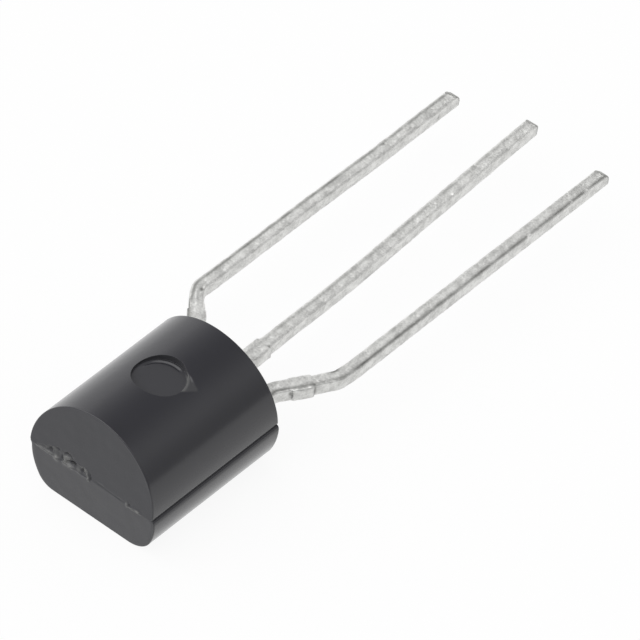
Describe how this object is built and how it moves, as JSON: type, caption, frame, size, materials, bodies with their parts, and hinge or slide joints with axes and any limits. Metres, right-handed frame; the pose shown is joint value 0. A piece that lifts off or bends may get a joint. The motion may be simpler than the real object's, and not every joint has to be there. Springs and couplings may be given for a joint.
{
  "type": "thyristor",
  "caption": "Through-hole thyristor: half-round moulded case with a flat, and flat tinned leads splayed to a wider pitch.",
  "frame": {"origin": "middle of the moulded flat of the case", "axes": "+Y along the leads, from the case to the lead tips; +Z from the flat to the rounded side; +X across the leads, towards the anode lead"},
  "size_m": [0.0055, 0.0191, 0.0037],
  "materials": {
    "resin": "satin moulded epoxy",
    "tinned_leads": "dull tin plating on copper alloy",
    "silicon": "polished silicon",
    "solder": "dull soft solder",
    "bond_wire": "bright drawn aluminium"
  },
  "bodies": {
    "root": {"case": "resin", "anode_lead": "tinned_leads", "gate_lead": "tinned_leads", "cathode_lead": "tinned_leads", "chip": "silicon", "die_solder": "solder", "gate_wire": "bond_wire", "cathode_wire": "bond_wire"}
  },
  "joints": []
}
